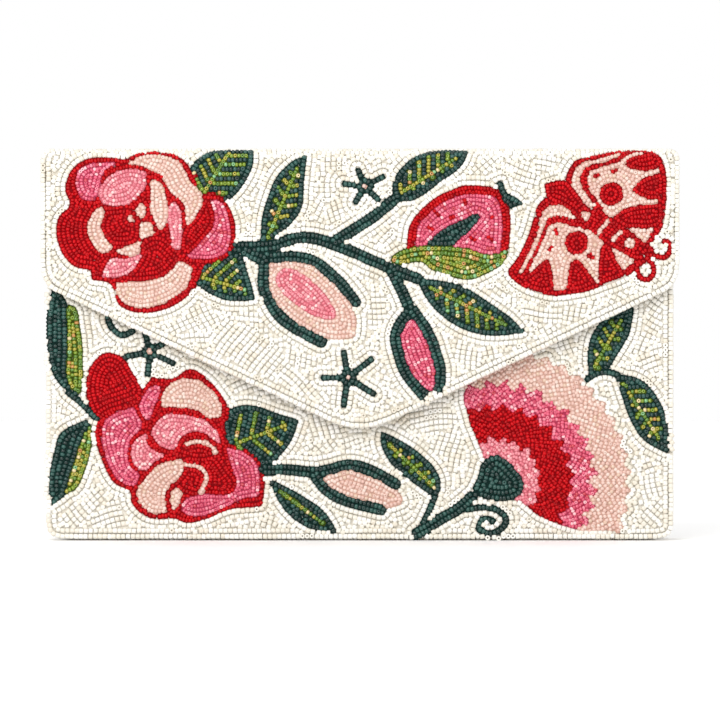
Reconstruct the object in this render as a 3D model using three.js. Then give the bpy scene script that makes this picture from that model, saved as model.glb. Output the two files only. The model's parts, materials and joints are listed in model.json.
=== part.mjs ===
// Beaded envelope clutch purse, standing upright on its base.
// Millimetres, +Z up, the flap faces -Y, and the origin is at the middle of the base.
// The back panel runs up into a soft fold over the top and down into a pointed flap. The front
// panel leans out from its bottom edge as the flap is lifted, and the side gussets open with it.
import * as THREE from "three";

// Driving dimensions
const HEIGHT = 166;
const DEPTH = 36;
const BODY_WIDTH = 266;
const FLAP_WIDTH = 270;
const FRONT_TOP = 150;
const FLAP_POINT = 44.5; // height where the flap's two slanting edges would cross
const FLAP_SLOPE = 0.472; // rise of a slanting edge for each millimetre sideways
const FLAP_POINT_RADIUS = 30;
const FLAP_CORNER_RADIUS = 12;
const CORNER_RADIUS = 6;
const FOLD_CORNER_RADIUS = 1; // at the ends of the edges beside the folds
const FOLD = 4; // distance from each fold's hinge line to the outer surfaces beside it

// Layers, from the outside in
const BEADS = 2.3;
const CLOTH = 0.6;
const BOARD = 1.4;
const FLAP_BOARD = 0.8;
const LINING = 0.5;
const GAP = 0.3; // between two layers that are sewn or glued together
const FLAP_REST_GAP = 0.5; // between the closed flap and the front panel

// Trim inside and between the panels
const GUSSET_X = 128.5; // outer face of each side gusset
const POCKET_WIDTH = 140;
const POCKET_BOTTOM = 36;
const POCKET_TOP = 122;
const HEM_HEIGHT = 5;
const BINDING_HEIGHT = 1.2;
const FRONT_FLOOR_GAP = 0.8; // keeps the front panel off the ground as it leans out

// Magnetic snap under the flap's point
const SNAP_HEIGHT = 63;
const SNAP_RADIUS = 9;
const STUD_RADIUS = 4;
const WASHER_RADIUS = 7;
const SNAP_CLEARANCE = 0.5;
const SNAP_PLATE = 0.45; // sheet metal of the socket's floor and the stud's flange
const SOCKET_WALL = 0.7;
const SOCKET_DEPTH = 1.5;
const MAGNET_RECESS = 0.1; // from the socket's rim to the magnet's face
const WASHER_INSET = 0.2; // a washer lies this far under each face of the board that it sits in

const SNAP_SIDES = 32;
const ARC_STEPS = 8;

// Materials

const COLOURS = {
  ivoryBeads: { color: 0xf1ede2, roughness: 0.35, metalness: 0 },
  cloth: { color: 0xe9e3d5, roughness: 0.9, metalness: 0 },
  satin: { color: 0xefe6d4, roughness: 0.5, metalness: 0 },
  board: { color: 0xb9a88c, roughness: 0.85, metalness: 0 },
  goldMetal: { color: 0xc9a35a, roughness: 0.3, metalness: 1 },
  magnet: { color: 0x4b4c50, roughness: 0.45, metalness: 0.8 },
};

const purse = new THREE.Group();

function addMesh(name, geometry, look) {
  const mesh = new THREE.Mesh(geometry, new THREE.MeshStandardMaterial(COLOURS[look]));
  mesh.name = name;
  purse.add(mesh);
  return mesh;
}

// Outlines are drawn looking at the front: x to the right, y for height.

// A convex outline, counterclockwise, whose corners are rounded to the given radii.
function roundedOutline(corners) {
  const shape = new THREE.Shape();
  corners.forEach(({ at, radius }, i) => {
    const before = corners[(i + corners.length - 1) % corners.length].at;
    const after = corners[(i + 1) % corners.length].at;
    const towardsBefore = before.clone().sub(at).normalize();
    const towardsAfter = after.clone().sub(at).normalize();
    const halfAngle = Math.acos(towardsBefore.dot(towardsAfter)) / 2;
    const bisector = towardsBefore.clone().add(towardsAfter).normalize();
    const centre = at.clone().addScaledVector(bisector, radius / Math.sin(halfAngle));
    const reach = radius / Math.tan(halfAngle);
    const start = at.clone().addScaledVector(towardsBefore, reach).sub(centre);
    const end = at.clone().addScaledVector(towardsAfter, reach).sub(centre);
    shape.absarc(centre.x, centre.y, radius, start.angle(), end.angle(), false);
  });
  return shape;
}

const corner = (x, z, radius) => ({ at: new THREE.Vector2(x, z), radius });

const panelTop = HEIGHT - FOLD - GAP;

function panelOutline(halfWidth, bottom, top) {
  return roundedOutline([
    corner(-halfWidth, bottom, CORNER_RADIUS),
    corner(halfWidth, bottom, CORNER_RADIUS),
    corner(halfWidth, top, FOLD_CORNER_RADIUS),
    corner(-halfWidth, top, FOLD_CORNER_RADIUS),
  ]);
}

// The flap's outline, drawn in by an inset from its beaded edge.
function flapOutline(inset) {
  const halfWidth = FLAP_WIDTH / 2 - inset;
  const point = FLAP_POINT + inset * Math.hypot(1, FLAP_SLOPE);
  const shoulder = point + halfWidth * FLAP_SLOPE;
  return roundedOutline([
    corner(0, point, FLAP_POINT_RADIUS - inset),
    corner(halfWidth, shoulder, FLAP_CORNER_RADIUS - inset),
    corner(halfWidth, panelTop, FOLD_CORNER_RADIUS),
    corner(-halfWidth, panelTop, FOLD_CORNER_RADIUS),
    corner(-halfWidth, shoulder, FLAP_CORNER_RADIUS - inset),
  ]);
}

function punchSnapHole(outline, radius) {
  const hole = new THREE.Path();
  hole.absarc(0, SNAP_HEIGHT, radius, 0, 2 * Math.PI, true);
  outline.holes.push(hole);
  return outline;
}

// An upright layer between two depths, of which front is the lower.
function addLayer(name, outline, front, back, look) {
  const options = { depth: back - front, bevelEnabled: false, curveSegments: ARC_STEPS };
  const geometry = new THREE.ExtrudeGeometry(outline, options);
  const mesh = addMesh(name, geometry, look);
  mesh.rotation.x = Math.PI / 2;
  mesh.position.y = back;
}

function addBlock(name, low, high, look) {
  const size = new THREE.Vector3().subVectors(high, low);
  const mesh = addMesh(name, new THREE.BoxGeometry(size.x, size.y, size.z), look);
  mesh.position.addVectors(low, high).multiplyScalar(0.5);
}

const at = (x, y, z) => new THREE.Vector3(x, y, z);

// Depths of each stack's layers, as [front, back]

const backBeads = [DEPTH / 2 - BEADS, DEPTH / 2];
const backCloth = [backBeads[0] - GAP - CLOTH, backBeads[0] - GAP];
const backBoard = [backCloth[0] - GAP - BOARD, backCloth[0] - GAP];
const backLining = [backBoard[0] - GAP - LINING, backBoard[0] - GAP];

const flapBeads = [-DEPTH / 2, -DEPTH / 2 + BEADS];
const flapCloth = [flapBeads[1] + GAP, flapBeads[1] + GAP + CLOTH];
const flapBoard = [flapCloth[1] + GAP, flapCloth[1] + GAP + FLAP_BOARD];
const flapLining = [flapBoard[1] + GAP, flapBoard[1] + GAP + LINING];

const frontBeadFace = flapLining[1] + FLAP_REST_GAP;
const frontBeads = [frontBeadFace, frontBeadFace + BEADS];
const frontCloth = [frontBeads[1] + GAP, frontBeads[1] + GAP + CLOTH];
const frontBoard = [frontCloth[1] + GAP, frontCloth[1] + GAP + BOARD];
const frontLining = [frontBoard[1] + GAP, frontBoard[1] + GAP + LINING];

// Heights of the base's layers, as [bottom, top]

const baseBeads = [0, BEADS];
const baseCloth = [baseBeads[1] + GAP, baseBeads[1] + GAP + CLOTH];
const baseBoard = [baseCloth[1] + GAP, baseCloth[1] + GAP + BOARD];
const baseLining = [baseBoard[1] + GAP, baseBoard[1] + GAP + LINING];

// Back panel: each inner layer is a little smaller, and starts above the base layer that it meets.

const bodyHalf = BODY_WIDTH / 2;
const coveredHalf = bodyHalf - BEADS; // half width of the cloth under the beads
const boardHalf = coveredHalf - CLOTH - GAP;

addLayer("back_beads", panelOutline(bodyHalf, 0, panelTop), ...backBeads, "ivoryBeads");
addLayer("back_cover", panelOutline(coveredHalf, baseCloth[0], panelTop), ...backCloth, "cloth");
addLayer("back_board", panelOutline(boardHalf, baseBoard[0], panelTop), ...backBoard, "board");
addLayer("back_lining", panelOutline(boardHalf, baseLining[0], panelTop), ...backLining, "satin");

// Base: between the back panel's layers and the front panel's, which swing clear of it.

const SWING_CLEARANCE = 0.5;

function addBaseLayer(name, heights, halfWidth, front, back, look) {
  const low = at(-halfWidth, front + SWING_CLEARANCE, heights[0]);
  addBlock(name, low, at(halfWidth, back - GAP, heights[1]), look);
}

const baseHalf = bodyHalf - CORNER_RADIUS;
addBaseLayer("base_beads", baseBeads, baseHalf, frontBeads[1] + SWING_CLEARANCE, backBeads[0], "ivoryBeads");
addBaseLayer("base_cover", baseCloth, baseHalf, frontBoard[1], backCloth[0], "cloth");
addBaseLayer("base_board", baseBoard, GUSSET_X, frontBoard[1], backBoard[0], "board");
addBaseLayer("base_lining", baseLining, GUSSET_X, frontLining[1], backLining[0], "satin");

// Front panel

const frontBottom = FRONT_FLOOR_GAP;
const frontLayerBottoms = {
  cloth: baseCloth[0] + GAP,
  board: baseBoard[0],
  lining: baseLining[0],
};
const frontBeadOutline = panelOutline(bodyHalf, frontBottom, FRONT_TOP);
const frontClothOutline = panelOutline(coveredHalf, frontLayerBottoms.cloth, FRONT_TOP);
const frontBoardOutline = panelOutline(boardHalf, frontLayerBottoms.board, FRONT_TOP);
const frontLiningOutline = panelOutline(boardHalf, frontLayerBottoms.lining, FRONT_TOP);
punchSnapHole(frontBeadOutline, SNAP_RADIUS + 2 * SNAP_CLEARANCE);
punchSnapHole(frontBoardOutline, WASHER_RADIUS + SNAP_CLEARANCE);

addLayer("front_beads", frontBeadOutline, ...frontBeads, "ivoryBeads");
addLayer("front_cover", frontClothOutline, ...frontCloth, "cloth");
addLayer("front_board", frontBoardOutline, ...frontBoard, "board");
addLayer("front_lining", frontLiningOutline, ...frontLining, "satin");
addBlock(
  "front_top_binding",
  at(-boardHalf, frontBeads[0], FRONT_TOP + GAP),
  at(boardHalf, frontLining[1], FRONT_TOP + GAP + BINDING_HEIGHT),
  "satin",
);

// Side gussets, which reach from the front lining to the back lining.

const gussetFront = frontLining[1] + SWING_CLEARANCE;
const gussetBack = backLining[0] - GAP;
const gussetBottom = baseLining[1] + GAP;

for (const [side, sign] of [["left", -1], ["right", 1]]) {
  const addWall = (name, outerX, thickness, look) => {
    const faces = [sign * outerX, sign * (outerX - thickness)].sort((a, b) => a - b);
    addBlock(
      name,
      at(faces[0], gussetFront, gussetBottom),
      at(faces[1], gussetBack, FRONT_TOP),
      look,
    );
  };
  addWall(side + "_gusset", GUSSET_X, CLOTH, "cloth");
  addWall(side + "_gusset_lining", GUSSET_X - CLOTH - GAP, LINING, "satin");
}

// Slip pocket on the back lining, with a folded hem along its mouth.

const pocketBack = backLining[0] - GAP;
addBlock(
  "slip_pocket",
  at(-POCKET_WIDTH / 2, pocketBack - LINING, POCKET_BOTTOM),
  at(POCKET_WIDTH / 2, pocketBack, POCKET_TOP),
  "satin",
);
addBlock(
  "slip_pocket_hem",
  at(-POCKET_WIDTH / 2, pocketBack - 2 * LINING, POCKET_TOP + GAP),
  at(POCKET_WIDTH / 2, pocketBack, POCKET_TOP + GAP + HEM_HEIGHT),
  "satin",
);

// Top fold: a strip of beads, cloth and lining between the two hinge lines.

const foldHalfDepth = DEPTH / 2 - FOLD;

function addFoldLayer(name, halfWidth, top, thickness, look) {
  const low = at(-halfWidth, -foldHalfDepth, top - thickness);
  addBlock(name, low, at(halfWidth, foldHalfDepth, top), look);
}

const foldHalf = FLAP_WIDTH / 2;
addFoldLayer("spine_beads", foldHalf, HEIGHT, BEADS, "ivoryBeads");
addFoldLayer("spine_cover", foldHalf - BEADS, HEIGHT - BEADS - GAP, CLOTH, "cloth");
addFoldLayer("spine_lining", boardHalf, HEIGHT - BEADS - CLOTH - 2 * GAP, LINING, "satin");

// Flap

const flapBoardOutline = punchSnapHole(
  flapOutline(BEADS + CLOTH + GAP),
  WASHER_RADIUS + SNAP_CLEARANCE,
);
addLayer("flap_beads", flapOutline(0), ...flapBeads, "ivoryBeads");
addLayer("flap_cover", flapOutline(BEADS), ...flapCloth, "cloth");
addLayer("flap_board", flapBoardOutline, ...flapBoard, "board");
addLayer("flap_lining", flapOutline(BEADS), ...flapLining, "satin");

// Magnetic snap: turned pieces on one axis along Y. A profile is a list of [radius, depth],
// going from the front face inwards along the outside, and closes on itself or on the axis.

function addTurned(name, profile, look) {
  const points = profile.map(([radius, y]) => new THREE.Vector2(radius, y));
  const mesh = addMesh(name, new THREE.LatheGeometry(points, SNAP_SIDES), look);
  mesh.position.z = SNAP_HEIGHT;
}

const disc = (radius, front, back) => [[0, front], [radius, front], [radius, back], [0, back]];

function ring(inner, outer, front, back) {
  return [[inner, front], [outer, front], [outer, back], [inner, back], [inner, front]];
}

const cupInner = SNAP_RADIUS - SOCKET_WALL;
const cupPlate = [frontBeads[1] - SNAP_PLATE, frontBeads[1]];
const cupFront = frontBeads[1] - SOCKET_DEPTH;
addTurned(
  "snap_socket",
  [
    [0, cupPlate[0]],
    [cupInner, cupPlate[0]],
    [cupInner, cupFront],
    [SNAP_RADIUS, cupFront],
    [SNAP_RADIUS, cupPlate[1]],
    [0, cupPlate[1]],
  ],
  "goldMetal",
);
const magnetOuter = cupInner - GAP;
const magnetInner = STUD_RADIUS + SNAP_CLEARANCE;
const magnetBack = cupPlate[0] - GAP;
const magnetFront = cupFront + MAGNET_RECESS;
addTurned("snap_magnet", ring(magnetInner, magnetOuter, magnetFront, magnetBack), "magnet");

const studBase = [flapLining[1] + GAP, flapLining[1] + GAP + SNAP_PLATE];
const studTip = cupPlate[0] - GAP;
addTurned(
  "snap_stud",
  [
    [0, studBase[0]],
    [SNAP_RADIUS - SNAP_CLEARANCE, studBase[0]],
    [SNAP_RADIUS - SNAP_CLEARANCE, studBase[1]],
    [STUD_RADIUS, studBase[1]],
    [STUD_RADIUS, studTip],
    [0, studTip],
  ],
  "goldMetal",
);

function addWasher(name, board) {
  const profile = disc(WASHER_RADIUS, board[0] + WASHER_INSET, board[1] - WASHER_INSET);
  addTurned(name, profile, "goldMetal");
}

addWasher("snap_socket_washer", frontBoard);
addWasher("snap_stud_washer", flapBoard);

export default purse;
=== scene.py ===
"""Beaded envelope clutch purse: seed beads, cloth, lining and snap, built around its CAD frame.

Drawings and sizes are in millimetres, with x to the right and z up, looking at the purse's front.
Blender's objects are in metres.
"""

import itertools
import json
import math
import random

import bmesh
import bpy
import numpy as np
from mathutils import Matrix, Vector
from mathutils.geometry import delaunay_2d_cdt


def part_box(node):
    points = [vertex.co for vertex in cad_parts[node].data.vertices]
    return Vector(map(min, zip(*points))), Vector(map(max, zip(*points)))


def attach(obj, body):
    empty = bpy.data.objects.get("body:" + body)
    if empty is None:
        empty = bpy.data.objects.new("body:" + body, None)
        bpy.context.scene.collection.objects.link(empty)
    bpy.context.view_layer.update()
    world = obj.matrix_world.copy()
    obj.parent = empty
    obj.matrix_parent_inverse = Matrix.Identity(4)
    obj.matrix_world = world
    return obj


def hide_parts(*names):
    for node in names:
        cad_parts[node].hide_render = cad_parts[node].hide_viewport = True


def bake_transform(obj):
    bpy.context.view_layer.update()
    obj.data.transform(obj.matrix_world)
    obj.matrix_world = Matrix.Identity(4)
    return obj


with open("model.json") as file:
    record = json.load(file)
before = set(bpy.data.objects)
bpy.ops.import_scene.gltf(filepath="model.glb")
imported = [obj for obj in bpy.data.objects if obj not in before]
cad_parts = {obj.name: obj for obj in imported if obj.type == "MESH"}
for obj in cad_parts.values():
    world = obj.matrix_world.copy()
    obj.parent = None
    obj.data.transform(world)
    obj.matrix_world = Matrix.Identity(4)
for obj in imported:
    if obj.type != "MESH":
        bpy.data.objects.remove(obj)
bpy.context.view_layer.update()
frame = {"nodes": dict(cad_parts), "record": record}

MM = 0.001
dice = random.Random(11)


def box_mm(node):
    """A CAD node's lowest and highest corners."""
    return [np.array(corner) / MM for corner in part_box(node)]


# ---------------------------------------------------------------- sizes, from the frame

HINGES = {j["name"]: np.array(j["pos_m"]) / MM for j in frame["record"]["behaviour"]["joints"]}
FLAP_LOW, FLAP_HIGH = box_mm("flap_beads")
FRONT_LOW, FRONT_HIGH = box_mm("front_beads")
BASE_LOW, BASE_HIGH = box_mm("base_beads")
BACK_HIGH = box_mm("back_beads")[1]
SPINE_HIGH = box_mm("spine_beads")[1]
HEIGHT = SPINE_HIGH[2]
FLAP_HALF = FLAP_HIGH[0]
BODY_HALF = FRONT_HIGH[0]

# Each fold is a quarter turn round its hinge line. Panels are drawn flat, with the fold's length above
# the hinge line, and only the beads below FLAT_TOP stay on the stiff panel.
FOLD_DEPTH, FOLD_HEIGHT = HINGES["spine_fold"][1:]
FOLD = HEIGHT - FOLD_HEIGHT
FOLD_TOP = FOLD_HEIGHT + FOLD * math.pi / 2
FLAT_TOP = FOLD_HEIGHT - 1.5

# The flap's and the panels' outlines and the snap, as in the CAD model
FLAP_POINT = 44.5
FLAP_SLOPE = 0.472
FLAP_POINT_RADIUS = 30
FLAP_CORNER_RADIUS = 12
CORNER_RADIUS = 6
FOLD_CORNER_RADIUS = 1
SNAP_HEIGHT = 63
SNAP_HOLE = 10
CLOTH_INSET = 2.3

# How deep beads lie under the outer face, on a panel and round its rim, how far in from the edge the
# rim's row lies, and how far the cover cloths rise from their depth in the CAD model to meet the beads
BEAD_SINK = 1.15
RIM_SINK = 3.3
RIM_INSET = 1.15
CLOTH_RISE = 1.1

# The padding that swells the layers above a depth, and how they drop at a panel's side edges
PADDING_SINK = 3.3
BULGE = 1.5
EDGE_DROP = 1.2
EDGE_WIDTH = 4

# The distance between rows of ivory beads, and seed beads by colour: diameter, length, and the share that
# sit with the hole facing out
ROW = 2.35
BEADS = {
    "ivory": (ROW, 2.0, 0.03),
    "red": (1.85, 1.35, 0.03),
    "fuchsia": (1.7, 1.3, 0.2),
    "pink": (1.7, 1.3, 0.15),
    "pale_pink": (1.85, 1.6, 0.04),
    "green": (2.2, 1.65, 0.04),
    "lime": (2.0, 1.5, 0.4),
}
COLOURS = list(BEADS)
PITCH = {colour: bead[0] for colour, bead in BEADS.items()}


# ---------------------------------------------------------------- curves

# The cosine of a turn below which a curve has a sharp corner, and the steps in which curves are drawn
CORNER_COSINE = 0.25
CURVE_STEPS = 6
ARC_STEPS = 8
CIRCLE_STEPS = 32
TINY = 1e-9


def unit(vectors):
    return vectors / np.maximum(np.linalg.norm(vectors, axis=-1, keepdims=True), TINY)


def turned(direction, angle):
    """A direction turned anticlockwise."""
    x, z = direction
    sine, cosine = math.sin(angle), math.cos(angle)
    return np.array([x * cosine - z * sine, x * sine + z * cosine])


def smooth(points, closed=False):
    """A curve through the points, rounded except where they turn a sharp corner."""
    points = np.array(points, float)
    arriving = unit(points - np.roll(points, 1, axis=0))
    leaving = unit(np.roll(points, -1, axis=0) - points)
    if not closed:
        arriving[0] = leaving[0]
        leaving[-1] = arriving[-1]
    heading = unit(arriving + leaving)
    sharp = (arriving * leaving).sum(axis=1) < CORNER_COSINE
    start_heading = np.where(sharp[:, None], leaving, heading)
    end_heading = np.where(sharp[:, None], arriving, heading)
    t = np.linspace(0, 1, CURVE_STEPS, endpoint=False)[:, None]
    curve = []
    for i in range(len(points) - (not closed)):
        j = (i + 1) % len(points)
        length = np.linalg.norm(points[j] - points[i])
        curve.append(
            (2 * t**3 - 3 * t**2 + 1) * points[i]
            + (t**3 - 2 * t**2 + t) * length * start_heading[i]
            + (3 * t**2 - 2 * t**3) * points[j]
            + (t**3 - t**2) * length * end_heading[j]
        )
    if not closed:
        curve.append(points[-1:])
    return np.vstack(curve)


def grown(points, growth):
    """A closed curve through the points, moved outwards all round."""
    outline = smooth(points, closed=True)
    along = unit(np.roll(outline, -1, axis=0) - np.roll(outline, 1, axis=0))
    turning = np.sign((outline * np.roll(outline[:, ::-1] * (1, -1), -1, axis=0)).sum())
    return outline + np.column_stack([along[:, 1], -along[:, 0]]) * turning * growth


def rounded(*corners):
    """A closed outline with round corners, each given as x, z and radius."""
    outline = []
    for i, (x, z, radius) in enumerate(corners):
        at = np.array([x, z])
        to_last = unit(np.array(corners[i - 1][:2]) - at)
        to_next = unit(np.array(corners[(i + 1) % len(corners)][:2]) - at)
        half = math.acos(to_last @ to_next) / 2
        centre = at + unit(to_last + to_next) * radius / math.sin(half)
        start, end = (at + side * radius / math.tan(half) - centre for side in (to_last, to_next))
        first = math.atan2(start[1], start[0])
        sweep = (math.atan2(end[1], end[0]) - first + math.pi) % (2 * math.pi) - math.pi
        for angle in np.linspace(first, first + sweep, ARC_STEPS + 1):
            outline.append(centre + radius * np.array([math.cos(angle), math.sin(angle)]))
    return np.array(outline)


def flap_outline(inset, top, top_radius=FOLD_CORNER_RADIUS):
    """The flap's outline, drawn in from its beaded edge, up to a height."""
    half = FLAP_HALF - inset
    point = FLAP_POINT + inset * math.hypot(1, FLAP_SLOPE)
    shoulder = point + half * FLAP_SLOPE
    return rounded(
        (0, point, FLAP_POINT_RADIUS - inset),
        (half, shoulder, FLAP_CORNER_RADIUS - inset),
        (half, top, top_radius),
        (-half, top, top_radius),
        (-half, shoulder, FLAP_CORNER_RADIUS - inset),
    )


def panel_outline(inset, bottom, top, top_radius=FOLD_CORNER_RADIUS):
    """The front or back panel's outline, drawn in from its beaded sides."""
    half = BODY_HALF - inset
    radius = CORNER_RADIUS - inset / 2
    return rounded(
        (-half, bottom, radius), (half, bottom, radius), (half, top, top_radius), (-half, top, top_radius)
    )


def circle(x, z, radius):
    angles = np.arange(CIRCLE_STEPS) * 2 * math.pi / CIRCLE_STEPS
    return np.column_stack([x + radius * np.cos(angles), z + radius * np.sin(angles)])


def contains(outline, x, z):
    """Which places lie inside a closed outline."""
    inside = np.zeros(np.broadcast(x, z).shape, bool)
    for (x1, z1), (x2, z2) in zip(outline, np.roll(outline, -1, axis=0)):
        if z1 != z2:
            inside ^= ((z1 > z) != (z2 > z)) & (x < x1 + (z - z1) * (x2 - x1) / (z2 - z1))
    return inside


def distances(path):
    """How far along a path each of its points lies."""
    return np.append(0, np.cumsum(np.linalg.norm(np.diff(path, axis=0), axis=1)))


def places_along(path, distance, spots):
    """The points at some distances along a path."""
    return np.column_stack([np.interp(spots, distance, path[:, axis]) for axis in (0, 1)])


# ---------------------------------------------------------------- drawing and sewing a sheet of beads

# A sheet's grid: the size of a cell, the margin round the panel and the ivory region's number. Then, in
# cells, a place further off than any border, and the first jump of the flood that measures depths.
CELL = 0.3
MARGIN = 3
GROUND = 1
FAR_AWAY = -1e4
FLOOD_REACH = 64

# How many rows follow a region's border, the share of a bead's length by which a row squeezes to take
# one more bead, and the depth in rows down to which single beads fill what is left
ALL_ROWS = 99
IVORY_BORDER_ROWS = 2
ROW_SQUEEZE = 0.3
LEAST_DEPTH = 0.15

# The patches of the ivory ground, and how much their rows waver
PATCH_SIZE = 18
PATCH_WAVE = 0.7
PATCH_WAVE_RATE = 4

# How far petals and buds reach past the points they are drawn through, the width of an outline, the
# slanting rows in a leaf, and the radii of a star's heart, of seeds and of the spots on wings
PETAL_GROWTH = 0.45
BUD_GROWTH = 1.6
OUTLINE = 3.3
VEIN_ANGLE = math.radians(58)
VEIN_STEPS = 12
VEINS_BEFORE_BASE = 8
STAR_HEART = 1.4 * ROW
STAR_EYE = 0.6 * ROW
SEED = 1.2
WING_DOT = 1.3
WING_EYE = 5


def disc_offsets(radius):
    """The rows and columns, from a cell, of those round it."""
    reach = int(radius / CELL) + 1
    rows, columns = np.mgrid[-reach : reach + 1, -reach : reach + 1]
    near = np.hypot(rows, columns) * CELL < radius
    return rows[near], columns[near]


# The cells around a bead where no other bead starts, by colour
CLOSENESS = 0.72
DISCS = [disc_offsets(CLOSENESS * PITCH[colour]) for colour in COLOURS]


def overlap(shape, dz, dx):
    """The cells of a grid that a copy of it still covers when it is moved by some rows and columns."""
    return slice(max(dz, 0), shape[0] + min(dz, 0)), slice(max(dx, 0), shape[1] + min(dx, 0))


def chains_of(links):
    """Runs of numbers that are linked one to the next, each followed to both of its ends or round."""
    chains = []
    while links:
        start = next(iter(links))
        chain = [start]
        for _ in range(2):
            here = chain[-1]
            while links.get(here):
                there = links[here].pop()
                links[there].remove(here)
                if not links[here]:
                    del links[here]
                chain.append(there)
                here = there
            links.pop(here, None)
            if here == start:
                break
            chain.reverse()
        chains.append(chain)
    return chains


class Sheet:
    """A panel of beadwork: regions drawn on a grid of small cells, then sewn with rows of beads."""

    def __init__(self, outline):
        self.low = outline.min(axis=0) - MARGIN
        high = outline.max(axis=0) + MARGIN
        self.x = np.arange(self.low[0], high[0], CELL)
        self.z = np.arange(self.low[1], high[1], CELL)
        self.region = np.zeros((len(self.z), len(self.x)), np.int16)
        self.colour = np.zeros(self.region.shape, np.int8)
        self.taken = np.zeros(self.region.shape, bool)
        self.main_colour = ["ivory"]
        self.border_rows = [0]
        self.strokes = []
        self.hatches = []
        self.beads = []
        self.fill("ivory", outline, curved=False, border_rows=IVORY_BORDER_ROWS)

    # Drawing

    def window(self, points, reach=0.0):
        """The block of cells around some points."""
        first = np.floor((points.min(axis=0) - reach - self.low) / CELL).astype(int).clip(0)
        last = np.ceil((points.max(axis=0) + reach - self.low) / CELL).astype(int) + 1
        return slice(first[1], last[1]), slice(first[0], last[0])

    def inside(self, outline):
        """The cells inside a closed outline, as a block and a mask of it."""
        block = self.window(outline)
        return block, contains(outline, self.x[block[1]][None, :], self.z[block[0]][:, None])

    def beside(self, path, reach):
        """The cells within reach of a path, as a block and a mask of it."""
        block = self.window(path, reach)
        z = self.z[block[0]][:, None]
        x = self.x[block[1]][None, :]
        mask = np.zeros((z.size, x.size), bool)
        for (x1, z1), (x2, z2) in zip(path, path[1:]):
            dx, dz = x2 - x1, z2 - z1
            t = (((x - x1) * dx + (z - z1) * dz) / max(dx * dx + dz * dz, TINY)).clip(0, 1)
            mask |= (x - x1 - t * dx) ** 2 + (z - z1 - t * dz) ** 2 < reach * reach
        return block, mask

    def paint(self, colour, block, mask, border_rows=ALL_ROWS):
        """Makes the masked cells a new region of one colour. All but the first stay within the panel."""
        if len(self.main_colour) > GROUND:
            mask = mask & (self.region[block] > 0)
        self.main_colour.append(colour)
        self.border_rows.append(border_rows)
        self.region[block][mask] = len(self.main_colour) - 1
        self.colour[block][mask] = COLOURS.index(colour)
        return len(self.main_colour) - 1

    def fill(self, colour, points, curved=True, border_rows=ALL_ROWS):
        outline = smooth(points, closed=True) if curved else points
        return self.paint(colour, *self.inside(outline), border_rows)

    def cut(self, outline):
        """Leaves a hole in the panel."""
        block, mask = self.inside(outline)
        self.region[block][mask] = 0

    def petal(self, colour, points, growth=PETAL_GROWTH):
        """Fills a petal that reaches past the points it is drawn through, or stays short of them."""
        self.fill(colour, grown(points, growth), curved=False)

    def dye(self, colour, x, z, radius):
        """Changes the colour of the beads in a spot, but not the way their rows run."""
        block, mask = self.inside(circle(x, z, radius))
        self.colour[block][mask] = COLOURS.index(colour)

    def stroke(self, colour, rows, *points):
        """Draws one or more rows of beads side by side along a curve."""
        path = smooth(points)
        pitch = PITCH[colour]
        region = self.paint(colour, *self.beside(path, rows * pitch / 2))
        along = unit(np.gradient(path, axis=0))
        across = np.column_stack([-along[:, 1], along[:, 0]])
        for row in range(rows):
            self.strokes.append((region, path + across * (row - (rows - 1) / 2) * pitch))

    def spot(self, colour, x, z, radius):
        self.fill(colour, circle(x, z, radius), curved=False)

    def leaf(self, outline, base, tip, veins=("lime", "green")):
        """A leaf with a dark edge, a lime midrib and rows that slant out of it in turning colours."""
        region = self.fill("green", outline, border_rows=0)
        edge = grown(outline, -PITCH["green"] / 2)
        self.strokes.append((region, np.vstack([edge, edge[:1]])))
        base = np.array(base, float)
        axis = unit(np.array(tip) - base)
        length = np.linalg.norm(tip - base)
        self.stroke("lime", 1, base, tip)
        gap = PITCH["lime"] / math.sin(VEIN_ANGLE)
        reach = np.linspace(gap / 2, length, VEIN_STEPS)[:, None]
        for side in (1, -1):
            heading = turned(axis, side * VEIN_ANGLE)
            for k in range(-VEINS_BEFORE_BASE, int(length / gap) + 1):
                path = base + axis * gap * k + heading * reach
                self.hatches.append((region, path, veins[k % len(veins)]))

    def star(self, centre, *tips):
        """A small green star with a pale heart."""
        for tip in tips:
            self.stroke("green", 1, centre, tip)
        self.spot("green", *centre, STAR_HEART)
        self.spot("pale_pink", *centre, STAR_EYE)

    # Sewing

    def measure(self):
        """Finds how deep each cell lies inside its region, by flooding outwards from the borders."""
        shape = self.region.shape
        columns, rows = np.meshgrid(np.arange(shape[1]), np.arange(shape[0]))
        near_x = np.full(shape, FAR_AWAY)
        near_z = np.full(shape, FAR_AWAY)
        for axis in (0, 1):
            border = np.diff(self.region, axis=axis) != 0
            block = (slice(0, border.shape[0]), slice(0, border.shape[1]))
            near_x[block][border] = columns[block][border] + 0.5 * axis
            near_z[block][border] = rows[block][border] + 0.5 * (1 - axis)
        best = np.hypot(near_x - columns, near_z - rows)
        jump = FLOOD_REACH
        while jump:
            for dz in (-jump, 0, jump):
                for dx in (-jump, 0, jump):
                    to = overlap(shape, dz, dx)
                    fro = overlap(shape, -dz, -dx)
                    distance = np.hypot(near_x[fro] - columns[to], near_z[fro] - rows[to])
                    closer = distance < best[to]
                    best[to][closer] = distance[closer]
                    near_x[to][closer] = near_x[fro][closer]
                    near_z[to][closer] = near_z[fro][closer]
            jump //= 2
        best[self.region == 0] = 0
        for axis in (0, 1):
            best = (np.roll(best, 1, axis) + 2 * best + np.roll(best, -1, axis)) / 4
        self.depth = best * CELL
        pitches = np.array([PITCH[colour] for colour in self.main_colour])
        self.depth_in_rows = self.depth / pitches[self.region]

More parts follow.
